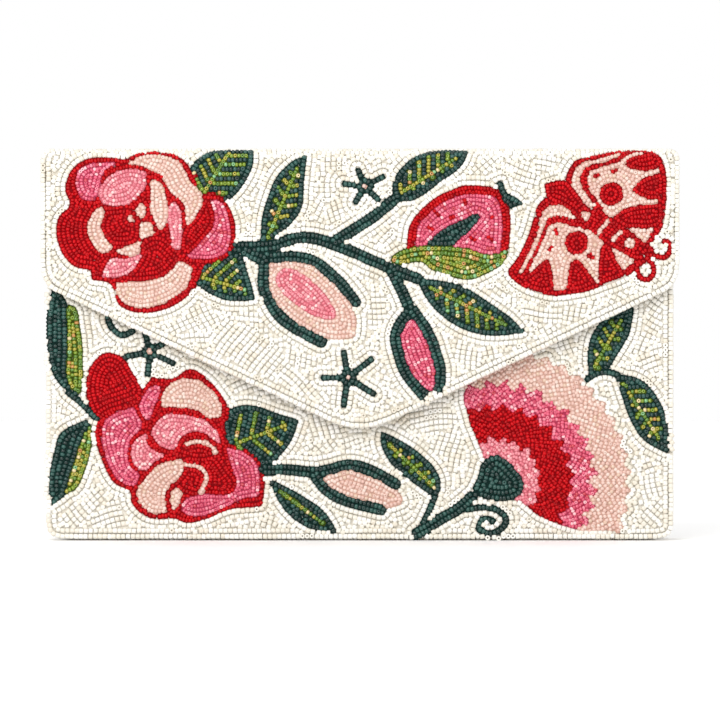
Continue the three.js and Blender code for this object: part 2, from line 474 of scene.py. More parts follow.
    def contours(self, level, allowed):
        """The lines of equal depth inside the allowed cells, by marching squares."""
        field = np.where(allowed, self.depth_in_rows, 0)
        deep = field > level
        number = np.arange(field.size).reshape(field.shape) * 2
        flat_cross = deep[:, :-1] != deep[:, 1:]
        tall_cross = deep[:-1] != deep[1:]
        sides = {
            "bottom": (flat_cross[:-1], number[:-1, :-1]),
            "top": (flat_cross[1:], number[1:, :-1]),
            "left": (tall_cross[:, :-1], number[:-1, :-1] + 1),
            "right": (tall_cross[:, 1:], number[:-1, 1:] + 1),
        }
        # Where all four sides of a cell are crossed, the lines cut off two of its corners
        saddle = np.all([crossed for crossed, _ in sides.values()], axis=0)
        corners = (("bottom", "left"), ("top", "right"))
        links = {}
        for first, second in itertools.combinations(sides, 2):
            linked = sides[first][0] & sides[second][0]
            if (first, second) not in corners:
                linked &= ~saddle
            for a, b in zip(sides[first][1][linked].tolist(), sides[second][1][linked].tolist()):
                links.setdefault(a, []).append(b)
                links.setdefault(b, []).append(a)
        return [self.crossings(np.array(chain), field, level) for chain in chains_of(links)]

    def crossings(self, numbers, field, level):
        """Where a contour crosses the numbered edges between cells."""
        row, column = np.divmod(numbers // 2, field.shape[1])
        up = numbers % 2
        here = field[row, column]
        there = field[row + up, column + 1 - up]
        share = (level - here) / (there - here)
        return np.column_stack([column + share * (1 - up), row + share * up]) * CELL + self.low

    def block(self, row, column, shade):
        """Keeps other beads from starting on the cells round a bead."""
        rows, columns = DISCS[shade]
        self.taken[row + rows, column + columns] = True

    def lay(self, path, region, colour=None, patch=None):
        """Sews a row of beads along a path, wherever its own region shows and is still bare."""
        length = BEADS[colour or self.main_colour[region]][1]
        distance = distances(path)
        count = int(distance[-1] / length + ROW_SQUEEZE)
        spots = (np.arange(count) + 0.5) * distance[-1] / max(count, 1)
        place, ahead, behind = (
            places_along(path, distance, spots + shift) for shift in (0, length / 2, -length / 2)
        )
        angles = np.arctan2(ahead[:, 1] - behind[:, 1], ahead[:, 0] - behind[:, 0])
        last_cell = np.array(self.region.shape[::-1]) - 1
        cells = np.round((place - self.low) / CELL).astype(int).clip(0, last_cell)
        last = None
        for (x, z), angle, (column, row) in zip(place, angles, cells):
            if self.region[row, column] != region or self.taken[row, column]:
                continue
            if patch is not None and self.patch[row, column] != patch:
                continue
            shade = COLOURS.index(colour) if colour else self.colour[row, column]
            self.beads.append((x, z, angle, shade))
            if last:
                self.block(*last)
            last = row, column, shade
        if last:
            self.block(*last)

    def lay_patches(self):
        """Covers the middle of the ivory ground with patches, whose rows run in different directions."""
        high = self.low + (self.x.size * CELL, self.z.size * CELL)
        count = int(np.prod(high - self.low) / PATCH_SIZE**2) + 1
        centres = [np.array([dice.uniform(*ends) for ends in zip(self.low, high)]) for _ in range(count)]
        nearest = np.full(self.region.shape, np.inf)
        self.patch = np.zeros(self.region.shape, np.int16)
        for i, (x, z) in enumerate(centres):
            away = np.hypot(self.x[None, :] - x, self.z[:, None] - z)
            self.patch[away < nearest] = i
            nearest = np.minimum(nearest, away)
        steps = np.arange(-2 * PATCH_SIZE, 2 * PATCH_SIZE, ROW)
        for i, centre in enumerate(centres):
            turn = dice.uniform(0, math.pi)
            along = np.array([math.cos(turn), math.sin(turn)])
            across = np.array([-along[1], along[0]])
            wave = PATCH_WAVE * np.sin(steps / PATCH_SIZE * PATCH_WAVE_RATE + turn)
            for offset in steps:
                path = centre + steps[:, None] * along + (offset + wave)[:, None] * across
                self.lay(path, GROUND, patch=i)

    def sew(self):
        """Turns the drawing into beads: strokes, rows inwards from each border, then what is left bare."""
        self.measure()
        for region, path in self.strokes:
            self.lay(path, region)
        limit = np.array(self.border_rows)[self.region]
        for k in range(int(self.depth_in_rows.max()) + 1):
            for chain in self.contours(k + 0.5, limit > k):
                column, row = np.round((chain[len(chain) // 2] - self.low) / CELL).astype(int)
                self.lay(chain, self.region[row, column])
        for region, path, colour in self.hatches:
            self.lay(path, region, colour)
        self.lay_patches()
        slope_z, slope_x = np.gradient(self.depth)
        bare = np.argwhere(~self.taken & (self.depth_in_rows > LEAST_DEPTH))
        for row, column in bare[np.argsort(-self.depth[tuple(bare.T)], kind="stable")]:
            if not self.taken[row, column]:
                angle = math.atan2(slope_z[row, column], slope_x[row, column]) + math.pi / 2
                shade = self.colour[row, column]
                self.beads.append((self.x[column], self.z[row], angle, shade))
                self.block(row, column, shade)
        return np.array(self.beads)


# ---------------------------------------------------------------- the flap's flowers


def draw_flap():
    sheet = Sheet(flap_outline(0, FOLD_TOP, CORNER_RADIUS))
    draw_flap_leaves(sheet)
    draw_rose(sheet)
    draw_flap_buds(sheet)
    draw_strawberry(sheet)
    draw_butterfly(sheet)
    sheet.star((2, 150), (-1, 157), (10, 154), (8, 144), (-2, 143), (-7, 151))
    sheet.star((-5, 69), (-7, 80), (5, 77), (6, 62), (-7, 57), (-16, 69))
    return sheet


def draw_rose(sheet):
    fill = sheet.fill
    petal = sheet.petal
    petal("red", [
        (-122, 142), (-124, 149), (-121, 157), (-114, 161.5), (-107, 162), (-99, 161), (-94, 164),
        (-86, 165), (-78, 163), (-71, 156), (-66, 147), (-61, 147), (-55, 139), (-53, 129), (-56, 121),
        (-66, 116), (-70, 108), (-77, 101), (-91, 97), (-101, 100), (-105, 109), (-113, 111), (-113, 115),
        (-121, 117), (-127, 126), (-127, 136),
    ])
    fill("red", [
        (-110, 139), (-103, 140), (-97, 140), (-93, 137), (-93, 132), (-95, 126), (-101, 125),
        (-107, 126), (-110, 131),
    ])
    fill("red", [
        (-67, 144), (-62, 144), (-61, 137), (-64, 128), (-69, 123), (-74, 121), (-76, 124), (-73, 134),
    ])
    fill("red", [
        (-92, 124), (-85, 127), (-80, 123), (-76, 119), (-79, 114), (-85, 111), (-97, 110), (-104, 111),
        (-97, 115),
    ])
    petal("fuchsia", [
        (-120, 152), (-118, 157), (-111, 159.5), (-103, 159.5), (-108, 157), (-111, 148), (-112, 144),
        (-117, 145),
    ])
    petal("fuchsia", [
        (-63, 144), (-59, 143), (-56, 137), (-56, 124), (-61, 120), (-73, 120), (-66, 127), (-61, 135),
    ])
    petal("pink", [
        (-110, 147), (-107, 153), (-102, 156), (-97, 157), (-91, 156), (-91, 151), (-96, 144),
        (-102, 142), (-108, 143),
    ])
    petal("pink", [(-80, 142), (-78, 143), (-76, 139), (-76, 124), (-79, 124), (-80, 131)])
    petal("pink", [(-109, 112), (-105, 119), (-99, 119), (-92, 121), (-97, 114), (-102, 112)])
    petal("pale_pink", [
        (-97, 160), (-91, 163), (-84, 163), (-77, 160), (-72, 152), (-67, 145), (-70, 137), (-73, 134),
        (-74, 142), (-80, 148), (-84, 155), (-90, 158),
    ])
    petal("pale_pink", [(-88, 153), (-84, 150), (-82, 144), (-83, 133), (-85, 132), (-88, 140)])
    petal("pale_pink", [
        (-103, 109), (-91, 109), (-82, 112), (-76, 118), (-71, 115), (-74, 107), (-83, 101), (-93, 99),
        (-101, 102),
    ])
    petal("pale_pink", [
        (-111, 141), (-109, 140), (-110, 132), (-105, 124), (-108, 122), (-113, 126), (-115, 133),
    ])
    petal("pale_pink", [(-103, 123), (-98, 124), (-93, 126), (-94, 122), (-100, 121)])
    petal("pale_pink", [(-93, 134), (-89, 134), (-87, 130), (-92, 128)])
    petal("pale_pink", [(-95, 140), (-92, 143), (-91, 138), (-93, 137)])
    sheet.spot("pale_pink", -97, 136, 1.5)


def draw_flap_leaves(sheet):
    sheet.leaf(
        [
            (-72, 155), (-68, 162), (-61, 166.5), (-53, 167), (-45, 167), (-45.5, 159), (-50, 150),
            (-57, 143.5), (-66, 144),
        ],
        (-66, 147), (-55, 165),
    )
    sheet.leaf(
        [
            (-22.5, 163.5), (-24, 150), (-24.5, 142), (-27, 137), (-37, 128), (-42, 127), (-41, 137),
            (-38.5, 146), (-35, 154), (-29, 160),
        ],
        (-39, 128), (-26.5, 158),
    )
    sheet.leaf(
        [
            (-52, 122), (-47.5, 113), (-44.5, 102), (-54, 101.5), (-62, 104), (-70, 110), (-72, 116),
            (-62, 121),
        ],
        (-67, 111.5), (-48, 106),
    )
    sheet.leaf(
        [(15, 144), (14, 151), (19, 159), (28, 165), (38, 167), (46, 166), (43, 159), (34, 152), (22, 144)],
        (17, 147), (41, 162),
    )
    sheet.leaf(
        [(24, 111), (30, 100), (41, 91), (54, 87), (69, 88), (65, 93), (54, 101), (42, 108)],
        (28, 108), (62, 91),
    )
    stroke = sheet.stroke
    stroke("green", 2, (-57, 124), (-36, 125), (-27, 128), (-20, 128), (-5, 123), (4, 119), (24, 111))
    stroke("green", 2, (-10, 127), (-2, 132), (7, 138), (14, 144))
    stroke("green", 1, (-53, 121), (-50, 119))


def draw_flap_buds(sheet):
    petal = sheet.petal
    stroke = sheet.stroke
    petal("pale_pink", [
        (-37.5, 109), (-37.5, 115), (-34, 117.5), (-26.5, 117), (-20, 114.5), (-13, 109.5), (-6.5, 102),
        (-3.5, 94), (-3.5, 87.5), (-10, 87), (-16, 88), (-24.5, 92), (-31, 98), (-35.5, 104),
    ], BUD_GROWTH)
    petal("pink", [
        (-35, 112), (-31.5, 115), (-25.5, 113), (-19, 108), (-15, 103.5), (-11, 97), (-10.5, 94),
        (-16, 94.5), (-23.5, 98), (-30, 103), (-34.5, 108),
    ])
    stroke("green", 2, (-40.5, 117), (-40.5, 107), (-38, 101), (-34, 95), (-26.5, 89.5), (-16.5, 84))
    stroke("green", 2, (-40, 119.5), (-27, 120), (-19, 118), (-12.5, 113), (-6.5, 107), (-2, 101))
    stroke("green", 2, (-48, 122), (-40, 118.5))
    petal("fuchsia", [
        (22, 93), (25, 90), (27.5, 85), (29.5, 79), (31, 73), (31.5, 69), (30, 65), (26.5, 67),
        (23.5, 72), (20.5, 78), (18.5, 83), (19, 88),
    ], BUD_GROWTH)
    stroke("green", 2, (13, 115), (17.5, 106), (21, 98))
    stroke("green", 2, (21, 97), (16.5, 91), (15, 86), (16, 80.5), (18, 74), (21, 68.5), (26.5, 62))
    stroke("green", 2, (22, 98), (27.5, 90), (30.5, 84), (32.5, 78), (34, 72), (33.5, 65))


def draw_strawberry(sheet):
    body = [
        (21, 121), (20.5, 130), (22, 135), (26, 140), (32, 145), (38, 148), (44, 150), (51, 150),
        (57, 149), (61, 145), (63, 140), (63, 126), (62, 120), (50, 116), (32, 117),
    ]
    sheet.fill("red", body)
    sheet.petal("fuchsia", body, -OUTLINE)
    for seed in ((32, 139), (38.5, 137), (45, 143), (55.5, 137), (29.5, 132), (47.5, 127.5), (55, 127.5)):
        sheet.dye("red", *seed, SEED)
    sheet.fill("green", [
        (28, 125), (33, 130.5), (44, 136), (50, 138), (51.5, 137), (46, 131), (42, 127.5), (38, 124),
    ])
    sheet.fill("lime", [
        (12, 119), (18, 123), (25, 124.5), (38, 124.5), (46, 123.5), (55, 121), (62, 123), (61, 118),
        (55, 114), (46, 110.5), (37, 112.5), (30, 115), (26, 118), (16, 117),
    ])
    sheet.fill("green", [
        (57, 151), (60, 152.5), (62, 147), (66, 145), (68.5, 142.5), (63, 140.5), (60, 145), (59, 149),
    ])


def draw_butterfly(sheet):
    draw_upper_wing(sheet)
    draw_lower_wing(sheet)
    fill = sheet.fill
    stroke = sheet.stroke
    fill("red", [
        (78, 151), (87, 152), (90, 149), (93, 145), (97, 140.5), (101, 140.5), (105, 137), (110, 134),
        (114, 131), (119, 127), (124, 124), (124, 120), (117, 119), (109, 123), (103, 126.5), (96, 132),
        (92, 136), (88, 140), (84, 142.5), (80, 144),
    ])
    fill("pale_pink", [(94, 139.5), (98, 138.5), (96, 135), (93, 137)])
    stroke("pale_pink", 1, (101, 131), (104.5, 134.5))
    stroke("pale_pink", 1, (107, 127.5), (110, 130.5))
    fill("pale_pink", [(113.5, 132.5), (124, 132), (122, 128), (120, 126), (117, 129)])
    sheet.spot("pale_pink", 114, 126, 2.4)
    stroke("red", 1, (121, 121), (125, 120.5), (129, 120), (131, 123), (130, 126.5), (128, 126.5))
    stroke("red", 1, (121, 120), (124, 116), (123.5, 112), (121, 110.5), (118, 112), (117, 115))


def draw_upper_wing(sheet):
    fill = sheet.fill
    sheet.petal("red", [
        (103, 137), (92, 145), (87.5, 152), (89, 157), (92, 160.5), (98, 162.5), (107, 165.5),
        (115, 166.5), (123, 165.5), (127, 161.5), (128.7, 155), (128.7, 142), (127.5, 134), (125, 129),
        (121, 124), (112, 130),
    ])
    fill("pale_pink", [
        (98, 141), (91, 147), (89.5, 152), (91, 157), (94, 159.5), (100, 161.3), (106, 163.2),
        (112, 165.8), (109, 163), (103, 160.3), (97, 158.8), (94, 156.5), (93, 153), (94.5, 148),
        (98, 144), (100, 142),
    ])
    fill("pale_pink", [
        (104.5, 138), (101, 143), (97.5, 148), (96, 152), (97, 156), (102, 157.8), (108, 159.7),
        (114, 163.5), (119, 165), (126, 158), (126.3, 150), (126.3, 143), (116, 141.5), (108, 137),
    ])
    fill("red", [
        (111.5, 159), (114, 162), (119, 163.7), (125, 164.5), (128, 160), (125, 157.5), (120, 156.3),
        (115, 157.3),
    ])
    fill("red", [
        (114.5, 148), (118, 152), (123, 154.5), (128, 155.5), (128, 144.5), (122, 144.5), (118, 146),
    ])
    fill("red", [(106, 136), (111, 140), (117, 141.7), (128, 142.7), (127, 134), (119, 132), (111, 133)])
    sheet.spot("red", 106.2, 146.7, WING_EYE)
    for dot in ((100, 154), (107.5, 156)):
        sheet.dye("red", *dot, WING_DOT)


def draw_lower_wing(sheet):
    fill = sheet.fill
    sheet.petal("red", [
        (92, 140), (86, 143.5), (80, 145), (76, 142), (74, 136), (71.5, 128.5), (66, 117.5), (63.3, 114),
        (65, 111), (70, 107.5), (76, 105.3), (82, 104.2), (88, 104.7), (95, 106), (102, 108.3),
        (109, 110.8), (115, 113.8), (121, 119), (117, 124), (106, 130),
    ])
    fill("pale_pink", [
        (66.5, 113), (70, 119), (73, 125), (75, 130), (76, 136), (78.5, 140.5), (82, 142), (87, 141),
        (91, 138.5), (93, 136), (90, 136), (85, 137.2), (80, 136.5), (78, 133.5), (76.5, 129), (74, 123),
        (71, 117.5), (68.3, 112.5),
    ])
    fill("pale_pink", [
        (71.5, 113.5), (75, 122), (78, 129), (80, 133), (84, 134.5), (90, 133), (97, 131.5), (102, 128),
        (104, 120), (102, 110), (97, 108.3), (90, 106.5), (83, 106.3), (76, 108),
    ])
    fill("red", [
        (68, 111), (74, 115), (78, 119), (80, 119), (81, 114), (82.3, 106), (76, 105.5), (70, 108),
    ])
    fill("red", [
        (87.5, 105.5), (88, 113), (89.5, 118), (92, 119), (95, 116), (98, 111.5), (100, 109), (94, 106.5),
    ])
    fill("red", [(101.3, 108.5), (101, 116), (102, 124), (104, 129), (107, 122), (110, 116), (112, 112)])
    fill("pale_pink", [(106, 124), (111, 123), (116, 121), (116.5, 119), (111.5, 114.8), (109, 118)])
    sheet.spot("red", 91.6, 126, WING_EYE)
    for dot in ((83, 130.5), (80.5, 124.2), (97.5, 120.3)):
        sheet.dye("red", *dot, WING_DOT)


# ---------------------------------------------------------------- the front panel's flowers


def draw_front():
    sheet = Sheet(panel_outline(0, FRONT_LOW[2], FRONT_HIGH[2], CORNER_RADIUS))
    sheet.cut(circle(0, SNAP_HEIGHT, SNAP_HOLE))
    draw_front_leaves(sheet)
    draw_front_rose(sheet)
    draw_front_bud(sheet)
    draw_fan_flower(sheet)
    sheet.star((-89, 80), (-91, 88), (-81, 85), (-79, 75), (-90, 70), (-99, 78))
    sheet.stroke("green", 1, (-107, 94), (-105, 90), (-101, 87), (-96, 89))
    return sheet


def draw_front_leaves(sheet):
    fill = sheet.fill
    stroke = sheet.stroke
    fill("green", [
        (-130, 108), (-132.5, 95), (-132.3, 83), (-130.5, 72), (-126, 65), (-119, 60), (-119, 85),
        (-125, 102),
    ])
    fill("lime", [
        (-124.5, 100), (-121, 99), (-119, 91), (-117.5, 78), (-118, 61), (-123.5, 66), (-124, 83),
    ])
    stroke("green", 1, (-124, 63), (-118, 58), (-111, 51))
    fill("green", [
        (-114, 52), (-121, 49), (-127, 45), (-130, 35), (-132, 26), (-131.5, 20), (-130, 15.5),
        (-124, 20), (-118, 30),
    ])
    fill("lime", [
        (-114, 50), (-118, 43), (-120.5, 35), (-125.5, 20), (-121, 21.5), (-117, 29), (-113.8, 42),
    ])

    sheet.leaf(
        [(-58, 54), (-51, 57), (-45, 57), (-36, 54), (-26, 51), (-29, 43), (-34, 36), (-39, 32), (-55, 40)],
        (-53, 41), (-31, 49), veins=("lime", "green", "green"),
    )
    sheet.leaf(
        [(-38, 26), (-32, 23), (-25, 19), (-15, 12), (-10, 4), (-16, 4), (-23, 6), (-31, 12), (-36, 20)],
        (-34, 21), (-14, 6), veins=("green",),
    )
    sheet.leaf(
        [(9, 46), (14, 44), (25, 37), (33, 28), (34, 22), (32, 18), (22, 25), (13, 33), (9, 41)],
        (12, 41), (31, 23),
    )
    stroke("green", 1, (32, 19), (29, 12), (25, 4))
    sheet.leaf(
        [(116, 99), (106, 96), (100, 90), (97, 82), (97, 70), (103, 71), (109, 79), (114, 88)],
        (99, 73), (111, 94),
    )
    stroke("green", 1, (96, 68), (101, 71), (107, 71), (114, 68))
    sheet.leaf(
        [(108, 70), (117, 69), (125, 62), (130, 50), (130.5, 37), (120, 43), (114, 53), (111, 62)],
        (111, 67), (127, 43),
    )


def draw_front_rose(sheet):
    fill = sheet.fill
    petal = sheet.petal
    stroke = sheet.stroke
    petal("red", [
        (-111, 51), (-115, 60), (-115, 70), (-111, 77), (-107, 79), (-101, 77), (-97, 71), (-93, 63),
        (-97, 58),
    ])
    petal("red", [
        (-110, 53), (-112, 46), (-109, 35), (-104, 25), (-97, 21), (-96, 16), (-91, 11), (-84, 9.5),
        (-79, 10), (-73, 8), (-66, 9.5), (-56, 13.5), (-42, 15), (-41, 27), (-44, 35), (-55, 41),
        (-58, 47), (-56, 55), (-59, 61), (-66, 69), (-72, 72), (-79, 68), (-88, 68), (-94, 60), (-99, 58),
    ])
    fill("red", [(-77, 35), (-63, 36), (-57, 29), (-54, 24), (-58, 19), (-76, 21), (-80, 26), (-77, 30)])
    fill("red", [(-79, 38), (-74, 45), (-68, 46), (-62, 43), (-60, 37), (-68, 35)])
    petal("fuchsia", [
        (-93, 58), (-91, 62), (-88, 65), (-84, 65), (-87, 58), (-89, 53), (-90, 51), (-92, 53),
    ])
    petal("fuchsia", [
        (-109, 45), (-108, 50), (-103, 54), (-96, 56), (-93, 49), (-98, 42), (-98, 32), (-94, 27),
        (-96, 23), (-101, 25), (-106, 32),
    ])
    petal("fuchsia", [
        (-56, 39), (-49, 37), (-44, 32), (-43, 25), (-43, 19), (-50, 18), (-56, 15), (-66, 11), (-72, 11),
        (-76, 13), (-74, 17), (-66, 19), (-54, 20), (-52, 25), (-54, 31),
    ])
    petal("pink", [
        (-88, 46), (-85, 51), (-82, 53), (-76, 53), (-67, 51), (-61, 46), (-59, 41), (-63, 44), (-69, 47),
        (-75, 45), (-80, 39), (-85, 41),
    ])
    petal("pink", [(-96, 41), (-91, 45), (-90, 40), (-83, 36), (-87, 34), (-91, 30), (-95, 32)])
    petal("pale_pink", [
        (-83, 63), (-76, 68), (-70, 68), (-65, 65), (-60, 59), (-59, 54), (-61, 52), (-70, 56), (-84, 57),
    ])
    petal("pale_pink", [
        (-76, 34), (-75, 30), (-82, 22), (-83, 17), (-82, 12), (-88, 12), (-93, 16), (-94, 21), (-91, 26),
        (-84, 32),
    ])
    petal("pale_pink", [(-80, 19), (-78, 22), (-76, 20), (-77, 16), (-79, 13)])
    stroke("pale_pink", 1, (-73, 41), (-68, 42), (-63, 40), (-61, 37))
    stroke("pale_pink", 1, (-73, 32), (-68, 31), (-65, 27), (-67, 21))


def draw_front_bud(sheet):
    stroke = sheet.stroke
    sheet.petal("pale_pink", [
        (-15, 26), (-8, 29), (-1, 27), (7, 24), (13, 21), (17, 17), (9, 15), (0, 17), (-8, 20),
    ], BUD_GROWTH)
    stroke("green", 2, (-41, 30), (-31, 30), (-19, 29), (-13, 30), (-5, 32), (1, 31), (8, 28), (15, 24))
    stroke("green", 2, (-19, 27), (-15, 22), (-9, 18), (-3, 16), (9, 13))


FAN = np.array([58.0, 25.0])

# The directions in degrees over which the flower's rows run, and those between which its rim shows
FAN_START = -30
FAN_END = 115
RIM_START = -24
RIM_END = 107
FAN_ARC = np.radians(np.arange(FAN_START, FAN_END))
FAN_RIM = slice(RIM_START - FAN_START, RIM_END - FAN_START)

# The fan flower's layers from the outside in: colour, radius, and the angle and depth of its teeth,
# which is a share of the radius
FAN_LAYERS = (
    ("pale_pink", 57, 8, 0.06),
    ("fuchsia", 42.5, 10, 0.1),
    ("red", 32.5, 13, 0.12),
    ("pink", 18.5, 18, 0.12),
)
FAN_CUP = 8


def fan_radius(angle, radius, tooth, depth):
    """A layer's edge in the fan flower: an arc round its heart, cut into pointed teeth."""
    return radius * (1 - depth * 2 * np.abs(np.mod(np.degrees(angle) / tooth, 1) - 0.5))


def fan_path(radius, tooth, depth):
    reach = fan_radius(FAN_ARC, radius, tooth, depth)
    return FAN + reach[:, None] * np.column_stack([np.cos(FAN_ARC), np.sin(FAN_ARC)])


def draw_fan_flower(sheet):
    """A flower that opens to the right from a green cup, in layers of zigzag rows."""
    rim = fan_path(*FAN_LAYERS[0][1:])[FAN_RIM]
    bottom = np.array([(64, 17), (68, 17), (75, 11), (84, 7), (94, 4), (106, 4)])
    side = np.array([(44, 76), (44, 60), (47, 49), (52, 37), (56, 28)])
    block, petals = sheet.inside(np.vstack([bottom, rim, side]))
    x = sheet.x[block[1]][None, :] - FAN[0]
    z = sheet.z[block[0]][:, None] - FAN[1]
    angle = np.arctan2(z, x)
    reach = np.hypot(x, z)
    for colour, radius, tooth, depth in FAN_LAYERS:
        mask = petals & (reach < fan_radius(angle, radius, tooth, depth) + PITCH[colour] / 2)
        region = sheet.paint(colour, block, mask, border_rows=0)
        slant = math.atan2(2 * depth, math.radians(tooth))
        for row_radius in np.arange(radius, FAN_CUP, -PITCH[colour] / math.cos(slant)):
            sheet.hatches.append((region, fan_path(row_radius, tooth, depth), None))
    sheet.fill("green", [
        (47, 20), (50, 27), (52, 33), (57, 36), (61, 35), (65, 31), (69, 26), (69, 21), (66, 18),
        (58, 17),
    ])
    stroke = sheet.stroke
    stroke("green", 2, (24, 3), (28, 5), (34, 9), (41, 13), (48, 19))
    stroke("green", 1, (45, 13), (53, 14), (58, 13), (62, 9), (60, 5), (55, 3), (50, 5), (52, 9), (57, 8))


# ---------------------------------------------------------------- the beads in space


def swell(x, z, half, sink):
    """How far padding swells a panel's beads and cover outwards, less their drop at the side edges."""
    if sink > PADDING_SINK:
        return np.zeros(len(x))
    across = (1 - (x / half) ** 2).clip(0)
    up = (1 - (2 * z / FOLD_HEIGHT - 1) ** 2).clip(0)
    return BULGE * across * up - EDGE_DROP * ((np.abs(x) - half) / EDGE_WIDTH + 1).clip(0) ** 2


def flap_place(x, z, sink):
    """Points under the flap's outer face, and on past it over the front fold."""
    turn = ((z - FOLD_HEIGHT) / FOLD).clip(0, math.pi / 2)
    reach = FOLD - sink
    y = -FOLD_DEPTH - (reach + swell(x, z, FLAP_HALF, sink)) * np.cos(turn)
    return np.column_stack([x, y, np.minimum(z, FOLD_HEIGHT) + reach * np.sin(turn)])


def front_place(x, z, sink):
    """Points under the front panel's outer face."""
    return np.column_stack([x, np.full(len(x), FRONT_LOW[1] + sink), z])


def back_place(x, z, sink):
    """Points under the back panel's outer face, and on past it over the back fold."""
    return flap_place(x, z, sink) * (1, -1, 1)


def top_place(x, y, sink):
    return np.column_stack([x, y, np.full(len(x), HEIGHT - sink)])


def base_place(x, y, sink):
    return np.column_stack([x, y, np.full(len(x), sink)])


def axes_on(place, x, z, angle, sink):
    """Bead centres on a curved panel, with the directions along their rows and outwards."""
    centre = place(x, z, sink)
    right = unit(place(x + CELL, z, sink) - centre)
    up = unit(place(x, z + CELL, sink) - centre)
    outward = unit(place(x, z, sink - CELL) - centre)
    axis = unit(right * np.cos(angle)[:, None] + up * np.sin(angle)[:, None])
    return centre, axis, square_to(outward, axis)


def square_to(direction, axis):
    """The direction with what runs along the axis taken out."""
    return unit(direction - axis * (direction * axis).sum(axis=1, keepdims=True))


def bead_section(*half):
    """A bead's section, from half of it: each point's distance from the hole's axis, and along it."""
    return np.array([*half, *((radius, -along) for radius, along in reversed(half))])


# Shares of a bead's size. Ivory beads are cut straight from glass tube, and the others are rounded.
CUT_SECTION = bead_section((0.16, -0.42), (0.4, -0.5), (0.5, -0.34))
ROUND_SECTION = bead_section((0.14, -0.46), (0.34, -0.5), (0.5, -0.2))
RINGS = len(CUT_SECTION)
BEAD_SIDES = 8
BEADS_PER_PIECE = 2000

# How much beads differ in size, lean over and stray from their places, and straight rows in their start
DIAMETER_RANGE = (0.94, 1.03)
LENGTH_RANGE = (0.92, 1.02)
TILT = 0.07
JITTER = 0.06
ROW_START_SPREAD = 1

# The patches of painted shade in the gaps between beads: their radius as a share of a bead's diameter, and
# their depths
GAP_SHADE_SIDES = 6
GAP_SHADE_SHARE = 0.8
GAP_SHADE_SINKS = (0.85, 1.15)


def bead_vertices(section, centre, axis, outward, diameter, length):
    """Rings of points round each bead's axis."""
    angle = np.arange(BEAD_SIDES)[None, :, None, None] * 2 * math.pi / BEAD_SIDES
    sideways = np.cross(axis, outward)
    spoke = outward[:, None, None] * np.cos(angle) + sideways[:, None, None] * np.sin(angle)
    along = axis[:, None, None] * section[:, 1][None, None, :, None] * length[:, None, None, None]
    across = spoke * section[:, 0][None, None, :, None] * diameter[:, None, None, None]
    return (centre[:, None, None] + along + across).reshape(-1, 3)


def bead_faces(count):
    """Four-cornered faces that join each bead's rings."""
    side, ring = np.meshgrid(np.arange(BEAD_SIDES), np.arange(RINGS), indexing="ij")
    next_side, next_ring = (side + 1) % BEAD_SIDES, (ring + 1) % RINGS
    corners = [(side, ring), (side, next_ring), (next_side, next_ring), (next_side, ring)]
    one = np.stack([s * RINGS + r for s, r in corners], axis=-1).reshape(-1, 4)
    return (one[None] + np.arange(count)[:, None, None] * BEAD_SIDES * RINGS).reshape(-1, 4)


def bead_piece(name, beads, colour, place, sink):
    """One mesh of many beads of a colour, whose tints, sizes and leanings vary from bead to bead."""
    count = len(beads)
    chance = np.random.default_rng(count)
    diameter, length, share_facing_out = BEADS[colour]
    centre, axis, outward = axes_on(place, *beads[:, :3].T, sink)
    facing_out = chance.random(count) < share_facing_out
    axis[facing_out], outward[facing_out] = outward[facing_out], axis[facing_out]
    axis = unit(axis + chance.normal(0, TILT, (count, 3)))
    outward = square_to(outward, axis)
    centre = centre + chance.normal(0, JITTER, (count, 3))
    diameter = diameter * chance.uniform(*DIAMETER_RANGE, count)
    length = length * chance.uniform(*LENGTH_RANGE, count)
    section = CUT_SECTION if colour == "ivory" else ROUND_SECTION
    vertices = bead_vertices(section, centre, axis, outward, diameter, length)
    shares = list(BEAD_LOOKS[colour][0].values())
    tint = chance.choice(len(shares), count, p=np.array(shares) / sum(shares))
    return placed(name, bead_mesh(name, vertices, bead_faces(count), tint, BEAD_MATERIALS[colour]))


def bead_mesh(name, vertices, faces, tint, materials):
    """A smooth mesh of four-cornered faces, with each bead's tint."""
    mesh = bpy.data.meshes.new(name)
    face_tint = np.repeat(tint, len(faces) // len(tint))
    mesh.vertices.add(len(vertices))
    mesh.vertices.foreach_set("co", (vertices * MM).astype(np.float32).ravel())
    mesh.loops.add(faces.size)
    mesh.loops.foreach_set("vertex_index", faces.astype(np.int32).ravel())
    mesh.polygons.add(len(faces))
    mesh.polygons.foreach_set("loop_start", np.arange(len(faces), dtype=np.int32) * 4)
    mesh.polygons.foreach_set("material_index", face_tint.astype(np.int32))
    mesh.polygons.foreach_set("use_smooth", np.ones(len(faces), bool))
    for material in materials:
        mesh.materials.append(material)
    mesh.update(calc_edges=True)
    return mesh


def gap_shade_piece(name, beads, colour, place):
    """Small flat patches in a darker tone of the beads' colour, at uneven depths, that show in the gaps
    between beads: painted shade for the gaps.
    """
    angle = np.arange(GAP_SHADE_SIDES) * 2 * math.pi / GAP_SHADE_SIDES
    radius = GAP_SHADE_SHARE * PITCH[colour]
    x = beads[:, :1] + radius * np.cos(angle)
    z = beads[:, 1:2] + radius * np.sin(angle)
    depth = np.random.default_rng(len(beads)).random(len(beads)).repeat(GAP_SHADE_SIDES)[:, None]
    near, far = (place(x.ravel(), z.ravel(), sink) for sink in GAP_SHADE_SINKS)
    points = near + (far - near) * depth
    faces = np.arange(len(points)).reshape(len(beads), GAP_SHADE_SIDES)
    return placed(name, plain_mesh(name, points, faces.tolist(), GAP_SHADE_MATERIALS[colour]))


def plain_mesh(name, points, faces, material):
    """A mesh of one material."""
    mesh = bpy.data.meshes.new(name)
    mesh.from_pydata((points * MM).tolist(), [], faces)
    mesh.materials.append(material)
    return mesh


def placed(name, data):
    """A new object in the scene."""
    made = bpy.data.objects.new(name, data)
    bpy.context.scene.collection.objects.link(made)
    return made


